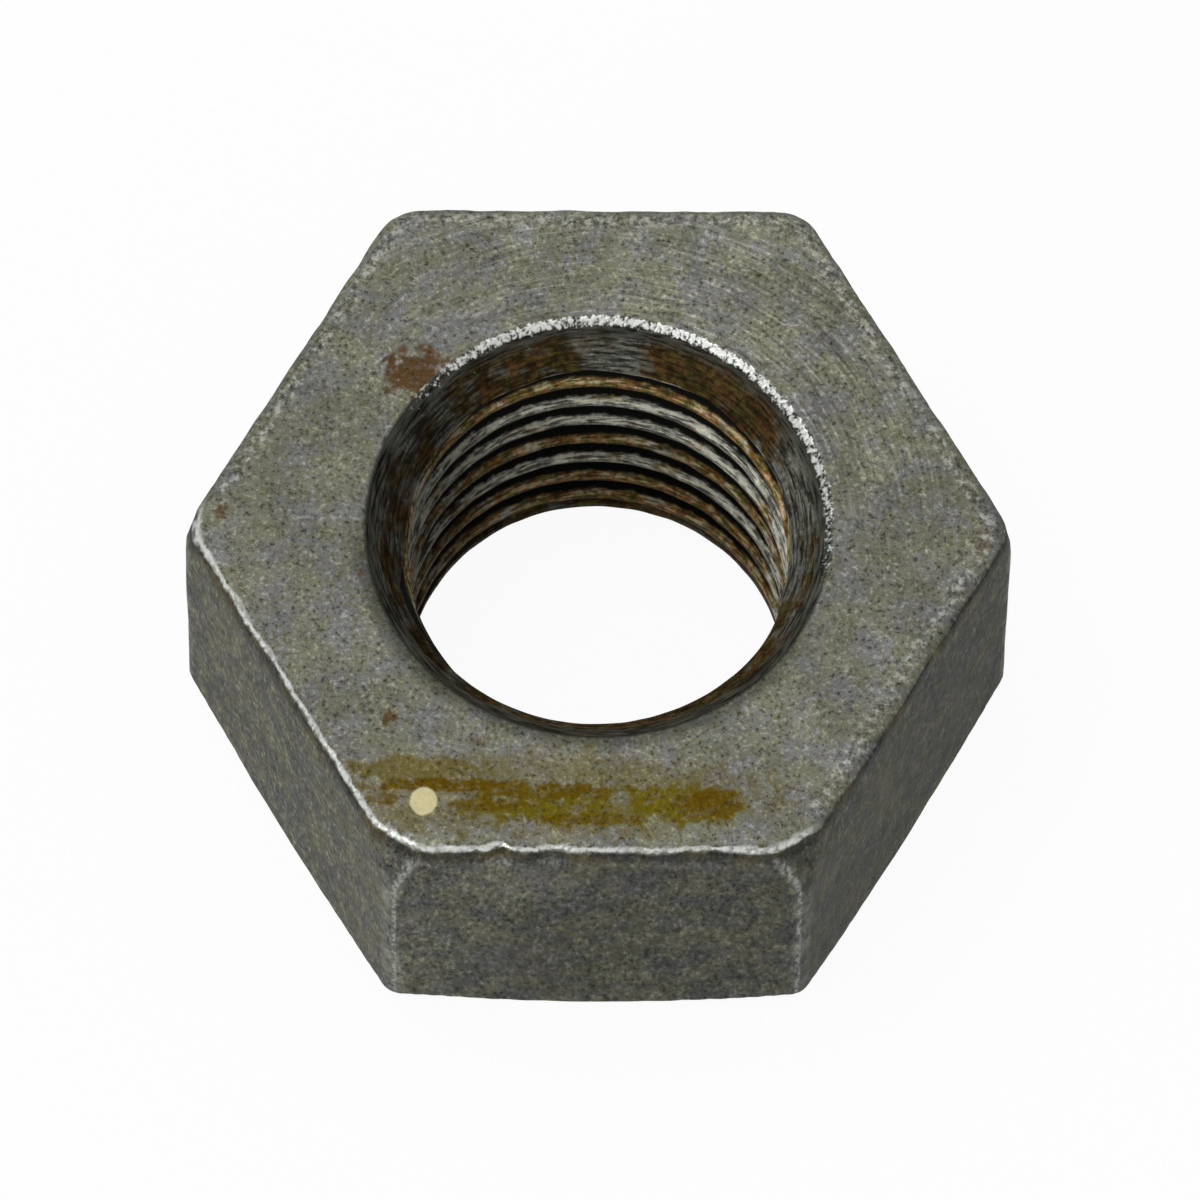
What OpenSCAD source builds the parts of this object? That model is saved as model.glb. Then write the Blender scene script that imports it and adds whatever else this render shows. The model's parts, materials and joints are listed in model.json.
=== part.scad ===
// Hexagon nut for a fine right-hand thread, standing on its bearing face.
// The origin is the middle of the bottom face and +Z is the thread's axis.

/* [Body] */
// Distance between two opposite flats
across_flats = 17; // [16:0.5:22]
// Height from the bottom face to the top face
height = 8.4; // [6:0.1:12]
// Rounding of the six upright corners
corner_r = 0.45; // [0.2:0.05:0.8]
// Rounding all round the edge of the top face
top_edge_r = 0.4; // [0.2:0.05:0.6]

/* [Turned ends] */
// How far in from the sharp corners the top chamfer starts
top_corner_cut = 0.40; // [0.3:0.02:1]
// Slope of the top chamfer, down from the top face
top_chamfer_angle = 60; // [45:1:70]
// How far in from the sharp corners the bottom chamfer starts
bottom_corner_cut = 1.24; // [0.8:0.02:1.6]
// Slope of the bottom chamfer, up from the bottom face
bottom_chamfer_angle = 20; // [10:1:30]

/* [Tapped hole] */
// Nominal diameter of the thread
thread_d = 10; // [8:0.5:12]
// Rise of the thread in one turn
thread_pitch = 1; // [0.75:0.25:1.5]
// Width of the countersink in the top face, out from the hole's wall
top_sink_w = 1.04; // [0.8:0.02:1.3]
// Width of the bevel at the hole's bottom end, out from the hole's wall
bottom_sink_w = 0.2; // [0.1:0.02:0.6]
// Full angle of the countersink and of the bottom bevel
sink_angle = 90; // [60:5:120]

/* [Hidden] */
$fn = 96;

steel = [0.43, 0.43, 0.39];
sides = 6;
// Radius of the corners before they are rounded
corner_reach = across_flats / 2 / cos(180 / sides);
// Room by which a cutting shape passes the faces that it cuts
overcut = 1;
// The hole's wall is at the thread's crests, in the basic metric profile with 60 degree flanks
sharp_thread_h = thread_pitch * cos(30);
hole_r = thread_d / 2 - 5 / 8 * sharp_thread_h;

function unit(v) = v / norm(v);

// Half of the angle between the two sides that meet at a corner
function half_angle(before, at, after) =
    acos(unit(before - at) * unit(after - at)) / 2;

// Middle of a corner's rounding
function round_centre(before, at, after, r) =
    at + unit(unit(before - at) + unit(after - at)) * r / sin(half_angle(before, at, after));

// Points where a corner's rounding leaves its two sides
function round_ends(before, at, after, r) =
    let (back = r / tan(half_angle(before, at, after)))
    [for (side = [before, after]) at + unit(side - at) * back];

// A convex outline with a radius for each corner, where 0 leaves the corner sharp
module rounded_outline(points, radii) {
    last = len(points) - 1;
    before = [for (i = [0:last]) points[i == 0 ? last : i - 1]];
    after = [for (i = [0:last]) points[i == last ? 0 : i + 1]];
    polygon([
        for (i = [0:last])
            each radii[i] > 0
                ? round_ends(before[i], points[i], after[i], radii[i])
                : [points[i]]
    ]);
    for (i = [0:last])
        if (radii[i] > 0)
            translate(round_centre(before[i], points[i], after[i], radii[i]))
                circle(radii[i]);
}

// Upright hexagonal bar with flats facing front and back
module hexagon_bar() {
    corners = [
        for (i = [0:sides - 1])
            corner_reach * [cos(i * 360 / sides), sin(i * 360 / sides)]
    ];
    linear_extrude(height)
        rounded_outline(corners, [for (c = corners) corner_r]);
}

// Slab between two opposite flats with both top edges rounded, longer than the bar is wide
module rounded_slab() {
    half_w = across_flats / 2;
    outline = [[-half_w, 0], [half_w, 0], [half_w, height], [-half_w, height]];
    rotate([90, 0, 90])
        linear_extrude(2 * (corner_reach + overcut), center = true)
            rounded_outline(outline, [0, 0, top_edge_r, top_edge_r]);
}

// Turned shape that takes the bar's corners off at both ends
module turned_envelope() {
    top_r = corner_reach - top_corner_cut;
    bottom_r = corner_reach - bottom_corner_cut;
    reach = corner_reach + overcut;
    outline = [
        [0, 0],
        [bottom_r, 0],
        [reach, (reach - bottom_r) * tan(bottom_chamfer_angle)],
        [reach, height - (reach - top_r) * tan(top_chamfer_angle)],
        [top_r, height],
        [0, height]
    ];
    rotate_extrude()
        rounded_outline(outline, [0, 0, 0, 0, top_edge_r, 0]);
}

// Tapping hole with its countersink and its bottom bevel
module tapping_hole() {
    spread = tan(sink_angle / 2);
    rotate_extrude()
        polygon([
            [0, -overcut],
            [hole_r + bottom_sink_w + overcut * spread, -overcut],
            [hole_r, bottom_sink_w / spread],
            [hole_r, height - top_sink_w / spread],
            [hole_r + top_sink_w + overcut * spread, height + overcut],
            [0, height + overcut]
        ]);
}

module hex_nut() {
    color(steel)
        difference() {
            intersection() {
                hexagon_bar();
                intersection_for (turn = [0, 60, 120]) rotate(turn) rounded_slab();
                turned_envelope();
            }
            tapping_hole();
        }
}

hex_nut();
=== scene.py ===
"""A worn steel hexagon nut with a fine thread, on a plain white floor.

The nut's mesh is one closed skin in polar columns round the thread's axis. Sizes are in millimetres,
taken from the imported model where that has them, and turned to metres when the mesh is made. The nut's
materials work in the same millimetres, from the place and the slope of the surface.
"""

import json
import math
from functools import cached_property, partial, reduce

import bmesh
import bpy
import numpy as np
from mathutils import Matrix, Vector, noise


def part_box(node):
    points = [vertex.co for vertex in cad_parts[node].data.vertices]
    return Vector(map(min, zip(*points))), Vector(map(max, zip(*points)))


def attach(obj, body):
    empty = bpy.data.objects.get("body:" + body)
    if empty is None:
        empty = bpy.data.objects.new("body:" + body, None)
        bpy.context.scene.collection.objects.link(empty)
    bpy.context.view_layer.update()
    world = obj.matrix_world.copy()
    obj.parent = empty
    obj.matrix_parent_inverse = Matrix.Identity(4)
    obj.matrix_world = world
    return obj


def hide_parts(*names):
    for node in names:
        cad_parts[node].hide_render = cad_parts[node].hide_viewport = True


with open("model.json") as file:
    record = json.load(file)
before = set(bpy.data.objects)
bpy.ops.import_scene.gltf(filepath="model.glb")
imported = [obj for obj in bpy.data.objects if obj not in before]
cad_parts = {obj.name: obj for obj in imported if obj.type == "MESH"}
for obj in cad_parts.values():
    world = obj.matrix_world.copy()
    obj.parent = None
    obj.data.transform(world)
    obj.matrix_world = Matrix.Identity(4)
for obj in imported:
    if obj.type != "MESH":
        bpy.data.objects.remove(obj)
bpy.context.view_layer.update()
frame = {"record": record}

MM = 0.001

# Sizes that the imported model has
low, high = (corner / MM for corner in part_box("hex_nut"))
HEIGHT = high.z - low.z
HALF_FLATS = (high.y - low.y) / 2
HOLE_R = next(m["dims"]["r_mm"] for m in frame["record"]["mounts"] if m["name"] == "thread")

# Edges of the body
SIDES = 6
CORNER_REACH = HALF_FLATS / math.cos(math.pi / SIDES)
CORNER_R = 0.45
EDGE_R = 0.40
EDGE_R_SPREAD = 0.05
TOP_CUT_R = CORNER_REACH - 0.40
TOP_CUT_ANGLE = math.radians(60)
FRONT_WEAR_R = CORNER_REACH - 0.45
FRONT_WEAR_ANGLE = math.radians(78)
BOTTOM_CUT_R = CORNER_REACH - 1.24
BOTTOM_CUT_SLOPE = math.tan(math.radians(20))
TOP_BLEND = 0.12
BOTTOM_BLEND = 0.10
CHAMFER_TOP = 0.6

# Thread and countersink
PITCH = 1.0
GROOVE_R = 5.0
GROOVE_HALF_FLOOR = PITCH / 16
FLANK_SLOPE = math.tan(math.radians(30))
SINK_W = 1.04
SINK_BOTTOM = HEIGHT - SINK_W
BEVEL_W = 0.2
CREST_WEAR = 0.26
CREST_BLEND = 0.06
SINK_BLEND = 0.05
LIP_R = 0.25
LIP_TURN = math.radians(45)
LIP_CENTRE = HOLE_R + SINK_W + LIP_R * math.tan(LIP_TURN / 2)
LIP_HAIR_R = LIP_CENTRE - 0.17
LIP_HAIR_HALF = 0.13

# Nicks in the front top edge: place along it, half length and depth
FRONT_NICKS = (
    (-3.55, 0.25, 0.04),
    (-2.30, 0.36, 0.11),
    (-1.00, 0.50, 0.07),
    (0.85, 0.25, 0.03),
)

# Depths of the wear, and how far apart its layers are in the noise
LAYER_GAP = 17.0
WAVE_DEPTH = 0.04
FINE_WAVE_DEPTH = 0.015
ROUGH_DEPTH = 0.012
DENT_DEPTH = 0.03
EDGE_DENT_DEPTH = 0.05
EDGE_CHIP_DEPTH = 0.012
LIP_CHIP_DEPTH = 0.035
CREST_DENT_DEPTH = 0.03

# Resolution of the mesh: columns, rings on each stretch of the section, and rings in a turn of the thread
COLUMNS_PER_SIDE = 84
CORNER_CROWDING = 0.45
LIP_ROWS = 6
TOP_ROWS = 14
EDGE_ROWS = 12
SIDE_ROWS = 16
CHAMFER_ROWS = 11
BOTTOM_ROWS = 10
TURN_ROWS = (0, 0.0625, 0.17, 0.28, 0.36, 0.41, 0.5, 0.59, 0.64, 0.72, 0.83, 0.9375)
END_SNAP = 0.015
WELD_GAP = 0.0005
SHARP_ANGLE = math.radians(50)


def soft_min(a, b, width):
    """The smaller of two values, with the corner between them rounded over this width."""
    share = np.clip(0.5 + 0.5 * (b - a) / width, 0, 1)
    return b + (a - b) * share - width * share * (1 - share)


def soft_max(a, b, width):
    return -soft_min(-a, -b, width)


def ramp(value, start, end):
    """0 at start and before it, 1 at end and past it, smooth between them."""
    share = np.clip((value - start) / (end - start), 0, 1)
    return share * share * (3 - 2 * share)


def column_angles():
    """Angles of the columns, closer together at the hexagon's corners. The last repeats the first."""
    step = np.arange(COLUMNS_PER_SIDE) / COLUMNS_PER_SIDE
    sector = step - CORNER_CROWDING * np.sin(math.tau * step) / math.tau
    turns = (np.arange(SIDES)[:, None] + sector).ravel() / SIDES
    return math.tau * np.append(turns, 1.0)


def hexagon_radius(angle, half_flats):
    """Distance from the axis to a hexagon with rounded corners, which lie at 0, 60 and so on degrees."""
    half_side = math.pi / SIDES
    off = np.abs((angle + half_side) % (2 * half_side) - half_side)
    centre = (half_flats - CORNER_R) / math.cos(half_side)
    arc = centre * np.cos(off) + np.sqrt(np.maximum(CORNER_R**2 - (centre * np.sin(off)) ** 2, 0))
    flat = half_flats / np.cos(half_side - off)
    arc_end = half_side - np.arctan((half_flats - CORNER_R) * math.tan(half_side) / half_flats)
    return np.where(off < arc_end, arc, flat)


def turned_cut(cut_r, slope, drop, edge_r, inset):
    """Distance from the axis to a cone of this slope that is rounded into the top face."""
    rounded = cut_r - edge_r * math.tan(slope / 2) + edge_r - inset
    return np.where(drop < edge_r * (1 - math.cos(slope)), rounded, cut_r + drop / math.tan(slope))


def outline_radius(angle, z, edge_r):
    """Distance from the axis to the outside at this height. The two front corners are worn off more."""
    drop = np.clip(HEIGHT - z, 0, None)
    inset = edge_r - np.sqrt(np.maximum(edge_r**2 - (edge_r - np.minimum(drop, edge_r)) ** 2, 0))
    side = hexagon_radius(angle, HALF_FLATS - inset)
    top_cut = turned_cut(TOP_CUT_R, TOP_CUT_ANGLE, drop, edge_r, inset)
    # Away from the front the worn cut moves out, so that it takes nothing off there
    elsewhere = ramp(np.sin(angle), -0.8, -0.6)
    worn_cut = turned_cut(FRONT_WEAR_R, FRONT_WEAR_ANGLE, drop, edge_r, inset) + elsewhere
    top_cut = np.minimum(top_cut, worn_cut)
    bottom_cut = BOTTOM_CUT_R + z / BOTTOM_CUT_SLOPE
    return soft_min(soft_min(side, top_cut, TOP_BLEND), bottom_cut, BOTTOM_BLEND)


def bore_radius(angle, z):
    """Distance from the axis to the thread, the countersink or the bottom bevel at this height.

    The thread's ends are worn: the groove runs out at the back, and at the front its top ridge is lost.
    """
    back = ramp(np.sin(angle), -0.5, 0.1)
    front = ramp(-np.sin(angle), 0.1, 0.7)
    crest_r = HOLE_R + CREST_WEAR * front * ramp(z, SINK_BOTTOM - 0.5, SINK_BOTTOM - 0.25)
    run_out = ramp(z, SINK_BOTTOM - 0.24, SINK_BOTTOM + 0.06) + ramp(-z, -0.65, -0.45)
    root_r = GROOVE_R - (GROOVE_R - HOLE_R) * back * run_out
    turn = z / PITCH - angle / math.tau
    from_groove = np.abs(turn - np.round(turn)) * PITCH
    thread = GROOVE_R - (from_groove - GROOVE_HALF_FLOOR) / FLANK_SLOPE
    thread = np.minimum(soft_max(thread, crest_r, CREST_BLEND), root_r)
    sink = HOLE_R + z - SINK_BOTTOM
    bevel = HOLE_R + BEVEL_W - z
    return soft_max(thread, np.maximum(sink, bevel), SINK_BLEND)


def worn_edge_radii(angle):
    """The top edge's rounding round the nut, a little uneven."""
    reach = 1.1 * CORNER_REACH
    places = [Vector((reach * math.cos(turn), reach * math.sin(turn), 3.0)) for turn in angle]
    return np.array([EDGE_R + EDGE_R_SPREAD * noise.noise(place) for place in places])


def outside_rows(angle):
    """Rings of radius and height from the countersink's lip, over the outside, to the hole's bottom end."""
    rows = []
    for turn in np.linspace(LIP_TURN, 0, LIP_ROWS):
        rows.append((LIP_CENTRE - LIP_R * math.sin(turn), HEIGHT - LIP_R * (1 - math.cos(turn))))
    edge_r = worn_edge_radii(angle)
    top_edge = outline_radius(angle, HEIGHT, edge_r)
    for share in np.linspace(0, 1, TOP_ROWS)[1:-1]:
        rows.append((LIP_CENTRE + (top_edge - LIP_CENTRE) * share, HEIGHT))
    for turn in np.linspace(0, math.pi / 2, EDGE_ROWS):
        z = HEIGHT - edge_r * (1 - math.cos(turn))
        rows.append((outline_radius(angle, z, edge_r), z))
    side_top = HEIGHT - edge_r
    for share in np.linspace(0, 1, SIDE_ROWS)[1:]:
        z = side_top + (CHAMFER_TOP - side_top) * share
        rows.append((outline_radius(angle, z, edge_r), z))
    for z in CHAMFER_TOP * np.linspace(1, 0, CHAMFER_ROWS)[1:]:
        rows.append((outline_radius(angle, z, edge_r), z))
    bottom_edge = outline_radius(angle, 0.0, edge_r)
    mouth = bore_radius(angle, 0.0)
    for share in np.linspace(0, 1, BOTTOM_ROWS)[1:]:
        rows.append((bottom_edge + (mouth - bottom_edge) * share, 0.0))
    return rows


def bore_rows(angle):
    """Rings that follow the thread up from the bottom face to the lip, and stay on those ends past them."""
    bottom = 0.0
    top = HEIGHT - LIP_R * (1 - math.cos(LIP_TURN))
    rows = []
    for turn in range(-1, math.ceil(HEIGHT / PITCH) + 1):
        for part in TURN_ROWS:
            z = (turn + part + angle / math.tau) * PITCH
            z = np.where(z < bottom + END_SNAP, bottom, np.where(z > top - END_SNAP, top, z))
            rows.append((bore_radius(angle, z), z))
    return rows


def grid_faces(rows, columns, first):
    """Quads of a grid of points that are numbered row by row from first."""
    row, column = np.meshgrid(np.arange(rows - 1), np.arange(columns - 1), indexing="ij")
    here = first + row * columns + column
    return np.stack([here, here + columns, here + columns + 1, here + 1], axis=-1).reshape(-1, 4)


def dip(place, per_mm, layer):
    """A soft random value from 0 to 1 that changes about this many times in a millimetre."""
    return min(max(0.5 + 0.6 * noise.noise(place * per_mm + Vector((0, 0, LAYER_GAP * layer))), 0), 1)


def edge_push(place):
    """The level push on the top edge at a point: inward in waves all round, and back at the front nicks."""
    radius = math.hypot(place.x, place.y)
    on_edge = ramp(place.z, 7.4, 8.2) * ramp(radius, 7.6, 8.3)
    rough = 1 + ramp(-place.x * 0.5 - place.y * 0.87, 2.5, 5.0)
    broad_waves = WAVE_DEPTH * max(dip(place, 1.3, 7) - 0.4, 0)
    waves = rough * (broad_waves + FINE_WAVE_DEPTH * dip(place, 4.5, 8))
    nicks = sum(depth * ramp(half - abs(place.x - x), 0, 0.8 * half) for x, half, depth in FRONT_NICKS)
    at_front = ramp(-place.y, 7.5, 8.3)
    inward = -waves / radius
    return Vector((inward * place.x, inward * place.y + at_front * nicks, 0)) * on_edge


def wear_depth(place):
    """How far the surface is worn in at a point: a little all over, and more on edges, lip and ridges."""
    radius = math.hypot(place.x, place.y)
    outside = ramp(radius, 5.3, 5.9)
    depth = ROUGH_DEPTH * dip(place, 2.6, 1) + outside * DENT_DEPTH * dip(place, 0.5, 2)
    top_edge = ramp(place.z, 6.8, 7.9) * ramp(radius, 7.2, 8.2)
    depth += top_edge * (EDGE_DENT_DEPTH * dip(place, 1.0, 3) + EDGE_CHIP_DEPTH * dip(place, 4.0, 4))
    lip = ramp(place.z, 8.2, 8.3) * ramp(radius, 5.3, 5.45) * ramp(-radius, -5.75, -5.6)
    depth += lip * LIP_CHIP_DEPTH * dip(place, 5.0, 5)
    crest = ramp(-radius, -4.75, -4.55)
    depth += crest * CREST_DENT_DEPTH * dip(place, 1.8, 6)
    return depth


def nut_mesh():
    """The nut's closed, worn skin. The bore's rings close up where they lie on one another."""
    angle = column_angles()
    outside = outside_rows(angle)
    bore = bore_rows(angle)
    points = []
    for radius, z in outside + bore:
        ring = np.broadcast_to(radius, angle.shape)
        points.append(np.stack([ring * np.cos(angle), ring * np.sin(angle), z + 0 * angle], axis=-1))
    columns = len(angle)
    outside_faces = grid_faces(len(outside), columns, 0)
    bore_faces = grid_faces(len(bore), columns, len(outside) * columns)
    faces = np.concatenate([outside_faces, bore_faces])
    mesh = bpy.data.meshes.new("nut")
    mesh.from_pydata((np.concatenate(points) * MM).tolist(), [], faces.tolist())
    mesh.polygons.foreach_set("material_index", [0] * len(outside_faces) + [1] * len(bore_faces))
    skin = bmesh.new()
    skin.from_mesh(mesh)
    bmesh.ops.remove_doubles(skin, verts=skin.verts, dist=WELD_GAP * MM)
    bmesh.ops.recalc_face_normals(skin, faces=skin.faces)
    skin.normal_update()
    for vert in skin.verts:
        place = vert.co / MM
        vert.co += (edge_push(place) - vert.normal * wear_depth(place)) * MM
    skin.to_mesh(mesh)
    skin.free()
    return mesh


# Shine and grain of the metal
SPECULAR = 0.03
BARE_POLISH = 0.16
BUMP_STRENGTH = 0.8
BUMP_DEPTH = 0.03


class Shade:
    """Adds nodes to a new material. Each call gives an output that later calls take as an input."""

    def __init__(self, name):
        self.material = bpy.data.materials.new(name)
        self.material.use_nodes = True
        self.tree = self.material.node_tree
        self.principled = self.tree.nodes["Principled BSDF"]

    def node(self, kind, **settings):
        made = self.tree.nodes.new(kind)
        for name, value in settings.items():
            setattr(made, name, value)
        return made

    def feed(self, socket, value):
        """Link an output to this input, or set the input to a constant. A colour gets its opacity here."""
        if isinstance(value, bpy.types.NodeSocket):
            self.tree.links.new(value, socket)
        elif socket.type == "RGBA":
            socket.default_value = (*value, 1)
        else:
            socket.default_value = value

    def math(self, operation, *values):
        made = self.node("ShaderNodeMath", operation=operation)
        for socket, value in zip(made.inputs, values):
            self.feed(socket, value)
        return made.outputs[0]

    def product(self, *values):
        return reduce(partial(self.math, "MULTIPLY"), values)

    def most(self, *values):
        return reduce(partial(self.math, "MAXIMUM"), values)

    def scale(self, vector, factors):
        made = self.node("ShaderNodeVectorMath", operation="MULTIPLY")
        self.feed(made.inputs[0], vector)
        self.feed(made.inputs[1], factors)
        return made.outputs[0]

    def length(self, vector):
        made = self.node("ShaderNodeVectorMath", operation="LENGTH")
        self.feed(made.inputs[0], vector)
        return made.outputs["Value"]

    def split(self, vector):
        made = self.node("ShaderNodeSeparateXYZ")
        self.feed(made.inputs[0], vector)
        return made.outputs

    def join(self, x, y, z):
        made = self.node("ShaderNodeCombineXYZ")
        for socket, value in zip(made.inputs, (x, y, z)):
            self.feed(socket, value)
        return made.outputs[0]

    def noise(self, vector, scale, detail=2.0, roughness=0.5):
        made = self.node("ShaderNodeTexNoise")
        self.feed(made.inputs["Vector"], vector)
        self.feed(made.inputs["Scale"], scale)
        self.feed(made.inputs["Detail"], detail)
        self.feed(made.inputs["Roughness"], roughness)
        return made.outputs["Fac"]

    def step(self, value, start, end, bottom=0.0, top=1.0):
        """A smooth change from bottom, at start, to top, at end. The start may be the larger."""
        made = self.node("ShaderNodeMapRange", interpolation_type="SMOOTHSTEP")
        self.feed(made.inputs["Value"], value)
        self.feed(made.inputs["From Min"], start)
        self.feed(made.inputs["From Max"], end)
        self.feed(made.inputs["To Min"], bottom)
        self.feed(made.inputs["To Max"], top)
        return made.outputs["Result"]

    def band(self, value, start, full, fade, end):
        """1 between full and fade, and 0 outside start and end."""
        return self.product(self.step(value, start, full), self.step(value, end, fade))

    def blend(self, share, first, second):
        made = self.node("ShaderNodeMix", data_type="RGBA")
        self.feed(made.inputs["Factor"], share)
        self.feed(made.inputs["A"], first)
        self.feed(made.inputs["B"], second)
        return made.outputs["Result"]

    def tone(self, colour, level):
        """The colour made darker or lighter by a varying level."""
        made = self.node("ShaderNodeVectorMath", operation="SCALE")
        self.feed(made.inputs[0], colour)
        self.feed(made.inputs["Scale"], level)
        return made.outputs[0]


class Surface(Shade):
    """A material on the nut, with the place in millimetres, the slope and the noises that layers share."""

    def __init__(self, name):
        super().__init__(name)
        coordinates = self.node("ShaderNodeTexCoord")
        self.place = self.scale(coordinates.outputs["Object"], (1 / MM, 1 / MM, 1 / MM))
        self.drawn = self.scale(self.place, (1, 1, 0.5))
        self.x, self.y, self.z = self.split(self.place)
        self.radius = self.length(self.scale(self.place, (1, 1, 0)))
        self.facing_x = self.math("DIVIDE", self.x, self.radius)
        self.facing_y = self.math("DIVIDE", self.y, self.radius)
        normal = self.split(coordinates.outputs["Normal"])
        self.tilt_y = normal["Y"]
        self.slope = normal["Z"]

    @cached_property
    def broad(self):
        """Clouds about two millimetres wide."""
        return self.noise(self.place, 0.5, 1.0)

    @cached_property
    def patches(self):
        """Clouds about a millimetre wide with finer ones in them."""
        return self.noise(self.place, 1.1, 3.0, 0.65)

    @cached_property
    def mottle(self):
        """Spots about a third of a millimetre wide, and longer upright."""
        return self.noise(self.drawn, 3.2, 2.0, 0.6)

    @cached_property
    def chips(self):
        """Grains of about a fifth of a millimetre with finer ones in them."""
        return self.noise(self.place, 5.5, 2.0, 0.65)

    @cached_property
    def fine(self):
        """Grains of about a tenth of a millimetre, longer upright."""
        return self.noise(self.drawn, 9.0, 1.0, 0.8)

    def along(self, x, y, degrees):
        """How far a level vector reaches in this direction."""
        turn = math.radians(degrees)
        return self.math("MULTIPLY_ADD", x, math.cos(turn), self.product(y, math.sin(turn)))

    def towards(self, degrees):
        """How much a point lies on this side of the axis, from 1 to -1."""
        return self.along(self.facing_x, self.facing_y, degrees)

    def ring_noise(self, around, third, third_scale, detail=2.0):
        """Noise that runs round the axis, with a height or radius as its third direction."""
        vector = self.join(
            self.product(self.facing_x, around),
            self.product(self.facing_y, around),
            self.product(third, third_scale),
        )
        return self.noise(vector, 1.0, detail, 0.65)

    def reach(self, centre, halves):
        """Distance from the middle of an ellipsoid, which is 1 at its surface."""
        off = self.node("ShaderNodeVectorMath", operation="MULTIPLY_ADD")
        self.feed(off.inputs[0], self.place)
        self.feed(off.inputs[1], [1 / half for half in halves])
        self.feed(off.inputs[2], [-middle / half for middle, half in zip(centre, halves)])
        return self.length(off.outputs[0])

    def spot(self, centre, halves, ragged, grains=None):
        """1 inside an ellipse on the top, with a soft edge that the grains tear, or else the mottle."""
        reach = self.reach((*centre, HEIGHT), (*halves, 1.0))
        torn = self.math("MULTIPLY_ADD", grains or self.mottle, ragged, reach)
        return self.step(torn, 1.3 + ragged / 2, 0.7 + ragged / 2)

    def blob(self, centre, halves):
        """1 in the middle of an ellipsoid, falling softly to 0 at its surface."""
        return self.step(self.reach(centre, halves), 1.0, 0.3)

    def partly(self, share, level):
        """The level where the share is 1, and 1 where it is 0."""
        return self.math("MULTIPLY_ADD", share, self.math("SUBTRACT", level, 1.0), 1.0)

    def flecks(self, grains, dark, light):
        """A level about 1 that falls towards dark and rises towards light with the grains."""
        return self.product(
            self.step(grains, 0.22, 0.48, dark, 1.0),
            self.step(grains, 0.52, 0.78, 1.0, light),
        )

    def finish(self, colour, metal, bare_and_highlight):
        """Put the layers on the shader, with the grain as roughness and bump."""
        shader = self.principled
        self.feed(shader.inputs["Base Color"], colour)
        self.feed(shader.inputs["Metallic"], metal)
        dull = self.step(self.fine, 0.3, 0.7, 0.48, 0.68)
        self.feed(shader.inputs["Roughness"], self.math("SUBTRACT", dull, self.product(bare_and_highlight, BARE_POLISH)))
        shader.inputs["Specular IOR Level"].default_value = SPECULAR
        bump = self.node("ShaderNodeBump")
        self.feed(bump.inputs["Height"], self.math("MULTIPLY_ADD", self.mottle, 0.8, self.fine))
        bump.inputs["Strength"].default_value = BUMP_STRENGTH
        bump.inputs["Distance"].default_value = BUMP_DEPTH * MM
        self.feed(shader.inputs["Normal"], bump.outputs["Normal"])
        return self.material


# Colours of the metal and what is on it, linear
PURPLE_GREY = (0.188, 0.187, 0.180)
OLIVE_GREY = (0.186, 0.188, 0.138)
SPECK_OLIVE = (0.130, 0.112, 0.048)
SIDE_OLIVE = (0.150, 0.142, 0.092)
BRIGHT_STEEL = (0.56, 0.57, 0.545)
BORE_GREY = (0.56, 0.56, 0.47)
CREST_CREAM = (0.80, 0.77, 0.62)
# Sooty black in the thread's grooves, partly painted shade, and black of the painted shade by the top edge
# and lip
SOOT_AND_SHADE = (0.008, 0.008, 0.007)
# Brown in the painted shade below the front top edge
SHADE_BROWN = (0.060, 0.038, 0.012)
SINK_SHADE = (0.028, 0.028, 0.023)
RUST_BROWN = (0.350, 0.186, 0.062)
OLIVE_RUST = (0.230, 0.185, 0.052)
STAIN_OLIVE = (0.134, 0.101, 0.005)
STAIN_ORANGE = (0.110, 0.066, 0.002)
PATCH_BROWN = (0.100, 0.056, 0.022)
CREAM = (0.66, 0.59, 0.335)

# Level of the countersink beside the thread's ridges, which are lighter
SINK_LEVEL = 0.155

# Sides of the nut in degrees round from +X, where a mark is strongest
LATHE_SIDE = 65
BRIGHT_LIP_SIDE = 66
# Side towards which painted light makes the nut's sides paler
PAINTED_LIGHT_SIDE = 215
# Side where the top edge's worn metal and painted highlight are strongest
BARE_AND_HIGHLIGHT_EDGE_SIDE = 240
# Side where the painted shade by the countersink's lip is strongest
SHADED_LIP_SIDE = 255

# Yellow-brown streaks on the top at the front: middle, half lengths and strength
OLIVE_STREAKS = (
    ((-1.3, -6.95), (5.2, 1.05), 0.45),
    ((-4.2, -6.34), (1.7, 0.34), 0.76),
    ((-0.5, -7.22), (3.0, 0.54), 1.0),
    ((2.0, -7.21), (1.45, 0.52), 1.0),
)
ORANGE_STREAKS = (
    ((-3.6, -6.74), (2.0, 0.17), 1.0),
    ((-1.1, -6.89), (1.7, 0.20), 0.85),
    ((-5.0, -7.09), (0.40, 0.14), 0.75),
    ((-2.7, -7.23), (1.1, 0.15), 0.75),
    ((-0.4, -7.62), (1.3, 0.13), 0.75),
    ((2.6, -7.18), (0.75, 0.36), 1.0),
)
STREAK_CLEARING = ((0.52, -7.06), (0.24, 0.24))
CREAM_DOT = ((-4.06, -7.15), (0.325, 0.350))
# Paler patch high on the front face: middle and half lengths
PALE_FRONT = ((-2.0, -8.5, 6.7), (2.4, 2.0, 1.7))
RUST_PATCH = ((-4.35, 4.01), (0.72, 0.55))
# Small rust specks on the top: middle, half lengths and strength
RUST_SPECKS = (
    ((-4.87, -4.99), (0.17, 0.16), 0.9),
    ((-8.87, 0.33), (0.15, 0.18), 0.7),
    ((-2.83, -5.63), (0.20, 0.11), 0.5),
    ((-5.57, -1.29), (0.08, 0.07), 0.7),
    ((9.05, -0.45), (0.24, 0.32), 0.4),
)


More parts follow.
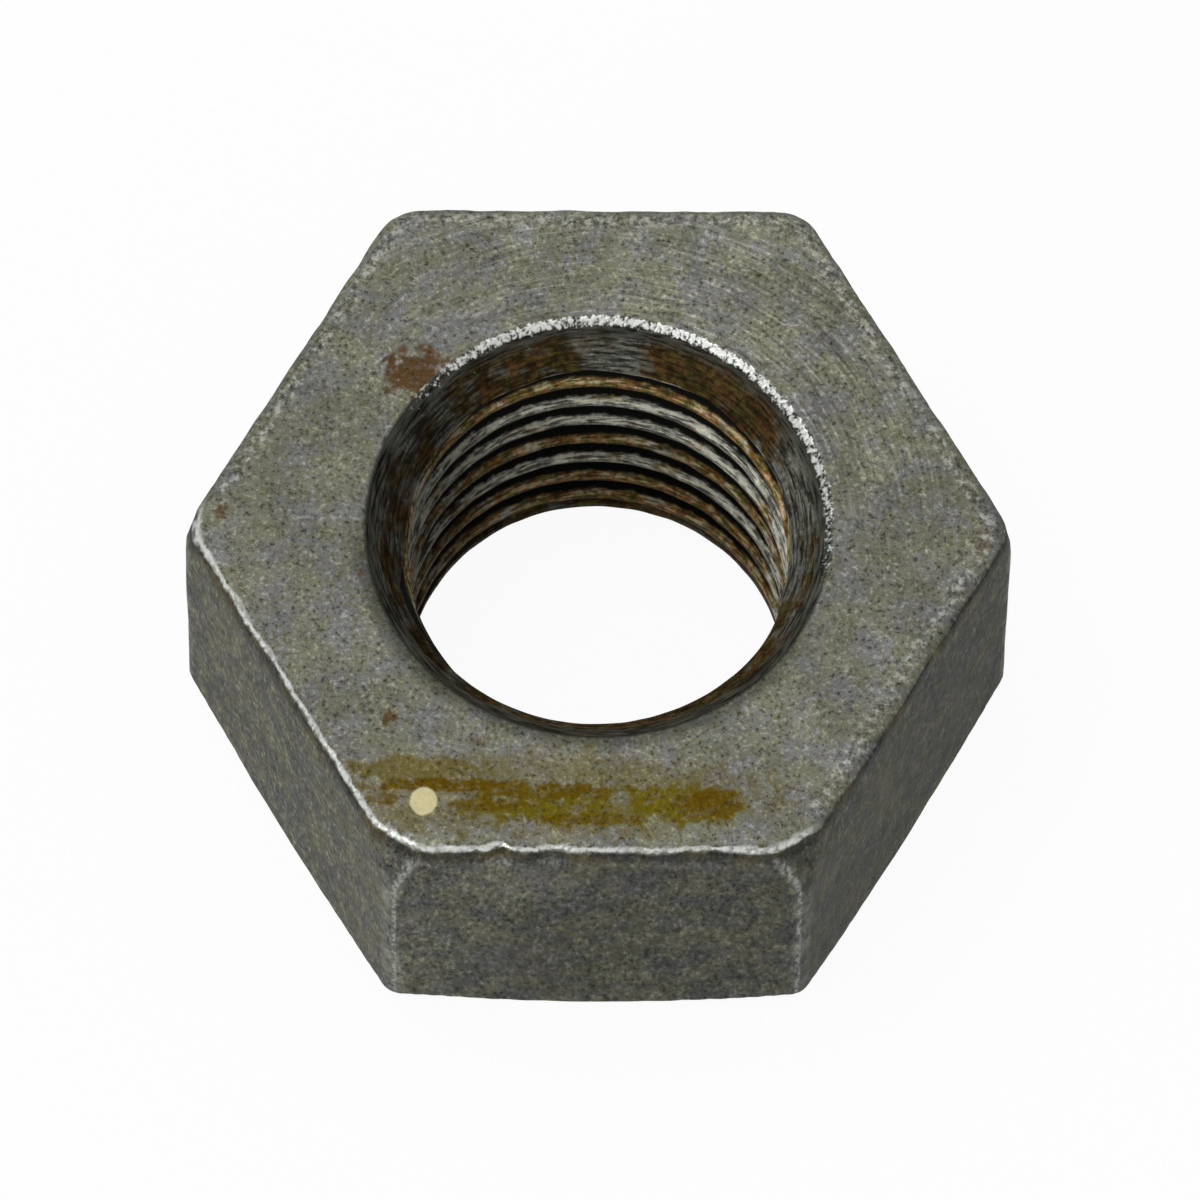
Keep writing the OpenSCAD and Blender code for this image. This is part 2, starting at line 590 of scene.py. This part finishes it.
def grain(at):
    """Grey metal with a purple or an olive cast in patches, olive specks and fine light and dark flecks."""
    colour = at.blend(at.step(at.patches, 0.36, 0.58), PURPLE_GREY, OLIVE_GREY)
    speck_share = at.step(at.slope, 0.5, 0.9, 0.18, 0.60)
    colour = at.blend(at.product(at.step(at.chips, 0.54, 0.68), speck_share), colour, SPECK_OLIVE)
    level = at.product(
        at.flecks(at.fine, 0.30, 2.00),
        at.step(at.mottle, 0.3, 0.7, 0.88, 1.12),
        at.step(at.broad, 0.3, 0.7, 0.90, 1.10),
        # Painted shade: darker towards the left and right
        at.step(at.math("ABSOLUTE", at.facing_x), 0.3, 0.95, 0.94, 0.84),
    )
    return at.tone(colour, level)


def turned_marks(at, colour):
    """Fine rings that the lathe left on the top, clearest at the back."""
    rings = at.ring_noise(6.0, at.radius, 12.0, 1.0)
    on_top = at.product(at.step(at.slope, 0.86, 0.97), at.step(at.z, 8.0, 8.2))
    share = at.product(on_top, at.step(at.towards(LATHE_SIDE), 0.2, 0.85, 0.2, 1.0))
    return at.tone(colour, at.partly(share, at.flecks(rings, 0.62, 1.60))), on_top


def side_scale(at, colour):
    """Dark scale on the sides with olive clouds, rougher to left and right, paler at the top, the bottom
    and a patch at the front, and painted light on the front-left face.
    """
    wobble = at.product(at.math("SUBTRACT", at.mottle, 0.5), 0.9)
    upper = at.step(at.math("ADD", at.z, wobble), 7.0, 7.9, 0.0, 0.7)
    lower = at.step(at.math("ADD", at.z, wobble), 0.8, 0.3, 0.0, 0.6)
    # Painted light: the front-left face is made paler, as light from the front-left would make it
    left = at.step(at.towards(PAINTED_LIGHT_SIDE), 0.55, 0.95, 0.0, 0.7)
    beside = at.step(at.math("ABSOLUTE", at.facing_x), 0.45, 0.75)
    gouges = at.noise(at.scale(at.place, (1, 1, 1.6)), 3.0, 2.0, 0.65)
    level = at.product(
        at.step(at.most(upper, lower, left, at.blob(*PALE_FRONT)), 0.0, 1.0, 0.46, 0.68),
        at.step(at.mottle, 0.3, 0.7, 0.90, 1.12),
        at.step(at.patches, 0.3, 0.7, 0.84, 1.18),
        at.step(at.fine, 0.28, 0.60, 0.84, 1.06),
        at.step(gouges, 0.28, 0.40, 0.66, 1.02),
        at.partly(beside, at.step(at.chips, 0.34, 0.66, 0.76, 1.28)),
    )
    on_side = at.product(at.step(at.slope, 0.75, 0.35), at.step(at.radius, 6.0, 6.4))
    colour = at.blend(at.product(on_side, at.step(at.broad, 0.48, 0.62, 0.0, 0.25)), colour, SIDE_OLIVE)
    return at.tone(colour, at.partly(on_side, level))


def lip_hairs_and_highlight(at):
    """Share of bared metal in a frayed ring on the countersink's lip, thickest at the back and its right,
    where it is partly a painted highlight.
    """
    off = at.math("MULTIPLY_ADD", at.radius, 1 / LIP_HAIR_HALF, -LIP_HAIR_R / LIP_HAIR_HALF)
    core = at.most(at.math("SUBTRACT", 1.0, at.math("MULTIPLY", off, off)), -1.0)
    strength = at.product(at.step(at.towards(BRIGHT_LIP_SIDE), 0.05, 0.75), at.step(at.z, 7.95, 8.1))
    fuzz = at.math("MULTIPLY_ADD", at.fine, 0.95, at.product(at.chips, 0.15))
    height = at.math("MULTIPLY_ADD", core, at.product(strength, 0.30), fuzz)
    return at.product(at.step(height, 0.62, 0.88), at.step(strength, 0.02, 0.3))


def edge_wear(at, colour):
    """Worn bright metal with painted highlights on the top edge and on the countersink's lip, and painted
    shade below the edge and by the lip.
    """
    flat_reach = at.most(*(
        at.math("ABSOLUTE", at.along(at.x, at.y, degrees)) for degrees in (30, 90, 150)
    ))
    high_edge = at.product(at.step(at.radius, 7.4, 7.8), at.step(at.z, 7.7, 7.9))
    facing_front = at.math("ABSOLUTE", at.tilt_y)
    front_left = at.step(at.towards(BARE_AND_HIGHLIGHT_EDGE_SIDE), 0.42, 0.49)
    elsewhere = at.step(front_left, 1.0, 0.0)

    at_corner = at.step(at.radius, 8.75, 9.1)
    tilt = at.math("MULTIPLY_ADD", at.math("SUBTRACT", at.chips, 0.5), 0.34, at.slope)
    lowest = at.step(at_corner, 0.0, 1.0, 0.50, 0.40)
    highest = at.step(at_corner, 0.0, 1.0, 0.88, 0.95)
    # Worn metal along the front-left top edge, placed in the band of slope where light from the front-left
    # gives a painted highlight
    rim = at.product(
        at.step(tilt, lowest, 0.66),
        at.step(tilt, highest, 0.76),
        high_edge,
        front_left,
        at.step(at.chips, 0.32, 0.58, 0.36, 1.0),
    )
    flecked = at.product(at.band(flat_reach, 7.75, 8.0, 8.15, 8.3), at.step(at.slope, 0.5, 0.8), high_edge)
    pale_flecks = at.product(flecked, elsewhere, at.step(at.chips, 0.50, 0.64, 0.0, 0.42))
    dark_flecks = at.product(flecked, elsewhere, at.step(at.chips, 0.46, 0.34, 0.0, 0.6))
    front_line = at.product(
        at.band(facing_front, 0.88, 0.95, 0.98, 0.997),
        at.step(at.fine, 0.40, 0.60, 0.1, 0.42),
    )
    corner_tip = at.product(at.step(at.radius, 9.58, 9.72), at.step(at.patches, 0.36, 0.60, 0.0, 0.16))
    corner_line = at.product(
        at.most(front_line, corner_tip),
        at.step(at.z, 8.0, 7.8),
        at.step(at.slope, 0.6, 0.4),
    )

    dark_mouth = at.product(
        at.step(at.radius, LIP_CENTRE - 0.05, LIP_CENTRE - 0.17),
        at.step(at.z, 4.0, 6.0),
    )
    colour = at.blend(at.most(dark_flecks, dark_mouth), colour, SINK_SHADE)
    bare_and_highlight = at.most(rim, lip_hairs_and_highlight(at), pale_flecks, corner_line)
    colour = at.blend(bare_and_highlight, colour, BRIGHT_STEEL)

    # Painted shade: a dark band below the front top edge
    under_rim = at.product(
        at.step(at.slope, 0.50, 0.36),
        at.step(at.math("ADD", at.z, at.product(at.chips, 0.6)), 7.85, 8.25),
        at.step(at.radius, 7.4, 7.8),
        at.step(at.facing_y, 0.3, -0.1),
    )
    # Painted shade: a dark soft band by the countersink's lip at the front and front-left
    near_lip = at.product(
        at.band(at.radius, LIP_CENTRE - 0.2, LIP_CENTRE - 0.12, LIP_CENTRE, LIP_CENTRE + 0.35),
        at.step(at.towards(SHADED_LIP_SIDE), 0.0, 0.6),
    )
    painted_shade = at.most(at.product(under_rim, 0.6), at.product(near_lip, 0.5))
    shade_colour = at.blend(at.product(under_rim, at.step(at.patches, 0.48, 0.62)), SOOT_AND_SHADE, SHADE_BROWN)
    return at.blend(painted_shade, colour, shade_colour), bare_and_highlight


def stains(at, colour, on_top):
    """Yellow-brown streaks, a rust patch and specks, and a cream drop on the top."""
    torn = at.noise(at.scale(at.place, (1.6, 3.6, 1.0)), 1.0, 3.0, 0.75)
    clear = at.step(at.spot(*STREAK_CLEARING, 2.0), 0.0, 1.0, 1.0, 0.40)
    thin = at.product(at.step(torn, 0.32, 0.50, 0.55, 1.0), at.step(at.chips, 0.3, 0.5, 0.6, 1.0))
    marks = []
    for streaks, tint in ((OLIVE_STREAKS, STAIN_OLIVE), (ORANGE_STREAKS, STAIN_ORANGE)):
        spots = [at.product(at.spot(centre, halves, 1.4), share) for centre, halves, share in streaks]
        cover = at.product(at.most(*spots), clear, on_top, thin)
        marks.append(cover)
        colour = at.blend(cover, colour, at.tone(tint, at.flecks(at.fine, 0.5, 1.6)))
    specks = [
        at.product(at.spot(centre, halves, 3.0, at.chips), share)
        for centre, halves, share in RUST_SPECKS
    ]
    rust = at.most(at.spot(*RUST_PATCH, 2.4), *specks)
    rust = at.product(rust, on_top, at.step(torn, 0.30, 0.52, 0.55, 1.0))
    colour = at.blend(rust, colour, at.tone(PATCH_BROWN, at.flecks(at.fine, 0.5, 1.5)))
    drop = at.step(at.product(at.spot(*CREAM_DOT, 0.3), on_top), 0.25, 0.75)
    colour = at.blend(drop, colour, at.tone(CREAM, at.step(at.fine, 0.3, 0.7, 0.94, 1.06)))
    return colour, at.most(rust, drop, *marks)


def steel_material():
    """Dull worn steel: grainy grey, dark on the sides, worn bright with painted highlights on its edges,
    with painted shade below the front edge, and stained on top.
    """
    at = Surface("worn_steel")
    colour, on_top = turned_marks(at, grain(at))
    colour = side_scale(at, colour)
    colour, bare_and_highlight = edge_wear(at, colour)
    colour, stained = stains(at, colour, on_top)
    metal = at.product(on_top, at.step(stained, 0.0, 1.0, 0.35, 0.0))
    return at.finish(colour, at.most(metal, bare_and_highlight), bare_and_highlight)


def lined_metal(at, lines, in_sink):
    """Grey metal with lines round it, rusty on some turns of the thread and parts of the countersink."""
    level = at.product(at.step(lines, 0.36, 0.66, 0.22, 1.8), at.flecks(at.fine, 0.4, 1.6))
    grey = at.tone(BORE_GREY, level)

    rusty_turns = at.most(
        at.band(at.z, 6.15, 6.40, 7.15, 7.40),
        at.band(at.z, 3.15, 3.40, 4.10, 4.35),
        at.step(at.z, 2.35, 2.10),
    )
    rusty_sink = at.most(
        at.step(at.facing_x, -0.75, -0.95, 0.0, 0.8),
        at.product(at.band(at.facing_x, -0.80, -0.55, -0.20, 0.0), at.step(at.facing_y, -0.1, 0.4)),
        at.band(at.facing_x, 0.10, 0.34, 0.70, 0.95),
        at.step(at.facing_y, -0.2, -0.6, 0.0, 0.9),
    )
    likely = at.math("MULTIPLY_ADD", in_sink, at.math("SUBTRACT", rusty_sink, rusty_turns), rusty_turns)
    rusty = at.step(at.math("MULTIPLY_ADD", likely, 0.24, at.patches), 0.52, 0.72)
    rust = at.blend(at.step(at.mottle, 0.40, 0.60), OLIVE_RUST, RUST_BROWN)
    level = at.product(at.step(at.chips, 0.34, 0.66, 0.50, 1.45), at.step(lines, 0.36, 0.62, 0.5, 1.4))
    return at.blend(rusty, grey, at.tone(rust, level)), rusty


def thread_phase(at):
    """Place in the thread's turn from 0 to 1: a groove at 0, and a ridge at a half. It wavers a little."""
    wear = at.product(at.math("SUBTRACT", at.mottle, 0.5), 0.10)
    angle = at.product(at.math("ARCTAN2", at.y, at.x), 1 / math.tau)
    turn = at.math("SUBTRACT", at.math("MULTIPLY_ADD", at.z, 1 / PITCH, wear), angle)
    return at.math("FRACT", turn)


def bore_material():
    """Lined dark metal with rust in the countersink, and bright or rusty ridges with painted highlights,
    and sooty black with painted shade between them.
    """
    at = Surface("rusty_bore")
    in_sink = at.step(at.z, SINK_BOTTOM - 0.02, SINK_BOTTOM + 0.06)
    on_thread = at.step(in_sink, 1.0, 0.0)
    lines = at.ring_noise(8.0, at.math("ADD", at.radius, at.z), 9.0)
    colour, rusty = lined_metal(at, lines, in_sink)

    phase = thread_phase(at)
    # Painted highlight: cream streaks along the upper edge of each ridge, fainter on rusty turns
    shine = at.product(
        at.band(phase, 0.55, 0.61, 0.66, 0.70),
        at.step(lines, 0.46, 0.60),
        at.step(rusty, 0.0, 1.0, 1.0, 0.45),
        on_thread,
        at.step(at.chips, 0.40, 0.58, 0.3, 1.0),
    )
    colour = at.blend(shine, colour, CREST_CREAM)
    sink_foot = at.product(
        at.band(at.radius, HOLE_R - 0.02, HOLE_R + 0.02, HOLE_R + 0.06, HOLE_R + 0.10),
        in_sink,
        at.step(lines, 0.48, 0.60),
    )
    colour = at.blend(sink_foot, colour, CREST_CREAM)

    left_side = at.step(at.facing_x, -0.85, -0.35, 0.42, 1.0)
    colour = at.tone(colour, at.product(left_side, at.partly(in_sink, SINK_LEVEL)))
    below_lip = at.math("MULTIPLY_ADD", at.math("SUBTRACT", lines, 0.5), 0.5, at.radius)
    dark_band = at.product(at.step(below_lip, LIP_CENTRE - 0.52, LIP_CENTRE - 0.36), in_sink, 0.85)
    colour = at.blend(dark_band, colour, at.tone(SINK_SHADE, at.step(lines, 0.3, 0.7, 0.1, 2.6)))
    # Sooty black and painted shade in the thread's grooves and on the overhung lower part of each ridge
    in_groove = at.most(
        at.step(phase, 0.66, 0.72),
        at.step(phase, 0.56, 0.36),
        at.step(phase, 0.06, 0.0),
    )
    soot_and_shade = at.product(in_groove, at.step(phase, 0.30, 0.38, 0.75, 1.0), on_thread)
    colour = at.blend(soot_and_shade, colour, SOOT_AND_SHADE)
    # The lip's ring of bared metal, partly a painted highlight
    bare_and_highlight = lip_hairs_and_highlight(at)
    colour = at.blend(bare_and_highlight, colour, BRIGHT_STEEL)
    return at.finish(colour, bare_and_highlight, bare_and_highlight)


nut = bpy.data.objects.new("nut", nut_mesh())
bpy.context.scene.collection.objects.link(nut)
nut.data.polygons.foreach_set("use_smooth", [True] * len(nut.data.polygons))
nut.data.set_sharp_from_angle(angle=SHARP_ANGLE)
nut.data.materials.append(steel_material())
nut.data.materials.append(bore_material())
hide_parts("hex_nut")
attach(nut, "root")

# Camera
CAMERA_ELEVATION = math.radians(64.28)
CAMERA_AZIMUTH = math.radians(-0.567)
CAMERA_ROLL = math.radians(0.775)
CAMERA_DISTANCE = 396.7 * MM
CAMERA_LENS = 502.0
CAMERA_NEAR = 0.01
AIM = Vector((0.0614, 0.0577, HEIGHT / 2 + 0.028)) * MM


def add_camera():
    back = Vector((
        math.sin(CAMERA_AZIMUTH) * math.cos(CAMERA_ELEVATION),
        -math.cos(CAMERA_AZIMUTH) * math.cos(CAMERA_ELEVATION),
        math.sin(CAMERA_ELEVATION),
    ))
    level = Vector((math.cos(CAMERA_AZIMUTH), math.sin(CAMERA_AZIMUTH), 0))
    upright = back.cross(level)
    right = math.cos(CAMERA_ROLL) * level + math.sin(CAMERA_ROLL) * upright
    up = back.cross(right)
    camera = bpy.data.objects.new("camera", bpy.data.cameras.new("camera"))
    camera.data.lens = CAMERA_LENS
    camera.data.clip_start = CAMERA_NEAR
    turned = Matrix((right, up, back)).transposed().to_4x4()
    camera.matrix_world = Matrix.Translation(AIM + back * CAMERA_DISTANCE) @ turned
    bpy.context.scene.collection.objects.link(camera)
    bpy.context.scene.camera = camera


def seen_directly(tree):
    """1 for rays that show a picture of what they meet: the camera's, reflected and transmitted ones."""
    path = tree.nodes.new("ShaderNodeLightPath")
    total = path.outputs["Is Camera Ray"]
    for kind in ("Is Glossy Ray", "Is Transmission Ray"):
        most = tree.nodes.new("ShaderNodeMath")
        most.operation = "MAXIMUM"
        tree.links.new(total, most.inputs[0])
        tree.links.new(path.outputs[kind], most.inputs[1])
        total = most.outputs[0]
    return total


FLOOR_HALF = 1.0
FLOOR_COLOUR = (0.9, 0.9, 0.9, 1)
FLOOR_ROUGHNESS = 0.9
FLOOR_WHITE_SHARE = 0.94


def floor_material():
    """A pale floor that shows white, with the object's shadow faint on it."""
    material = bpy.data.materials.new("floor")
    material.use_nodes = True
    tree = material.node_tree
    shader = tree.nodes["Principled BSDF"]
    shader.inputs["Base Color"].default_value = FLOOR_COLOUR
    shader.inputs["Roughness"].default_value = FLOOR_ROUGHNESS
    white = tree.nodes.new("ShaderNodeEmission")
    share = tree.nodes.new("ShaderNodeMath")
    share.operation = "MULTIPLY"
    share.inputs[1].default_value = FLOOR_WHITE_SHARE
    tree.links.new(seen_directly(tree), share.inputs[0])
    both = tree.nodes.new("ShaderNodeMixShader")
    tree.links.new(share.outputs[0], both.inputs[0])
    tree.links.new(shader.outputs[0], both.inputs[1])
    tree.links.new(white.outputs[0], both.inputs[2])
    tree.links.new(both.outputs[0], tree.nodes["Material Output"].inputs["Surface"])
    return material


def add_floor():
    half = FLOOR_HALF
    corners = [(-half, -half, 0), (half, -half, 0), (half, half, 0), (-half, half, 0)]
    mesh = bpy.data.meshes.new("floor")
    mesh.from_pydata(corners, [], [(0, 1, 2, 3)])
    mesh.materials.append(floor_material())
    floor = bpy.data.objects.new("floor", mesh)
    bpy.context.scene.collection.objects.link(floor)


def add_light(name, place, size, power):
    light = bpy.data.lights.new(name, "AREA")
    light.shape = "DISK"
    light.size = size
    light.energy = power
    lamp = bpy.data.objects.new(name, light)
    lamp.location = place
    lamp.rotation_euler = (-Vector(place)).to_track_quat("-Z", "Y").to_euler()
    bpy.context.scene.collection.objects.link(lamp)


# Name, place, width and power of each lamp
LAMPS = (
    ("overhead", (-0.10, 0.05, 0.45), 0.30, 0.85),
    ("front_left", (-0.30, -0.30, 0.16), 0.22, 0.5),
)
WORLD_LIGHT = 0.45


def add_world():
    """Even soft light, and white where it is seen."""
    world = bpy.data.worlds.new("studio")
    bpy.context.scene.world = world
    world.use_nodes = True
    tree = world.node_tree
    level = tree.nodes.new("ShaderNodeMapRange")
    level.inputs["To Min"].default_value = WORLD_LIGHT
    level.inputs["To Max"].default_value = 1.0
    tree.links.new(seen_directly(tree), level.inputs["Value"])
    background = tree.nodes["Background"]
    background.inputs["Color"].default_value = (1, 1, 1, 1)
    tree.links.new(level.outputs["Result"], background.inputs["Strength"])


add_camera()
add_floor()
for lamp_settings in LAMPS:
    add_light(*lamp_settings)
add_world()
bpy.context.scene.view_settings.view_transform = "Standard"
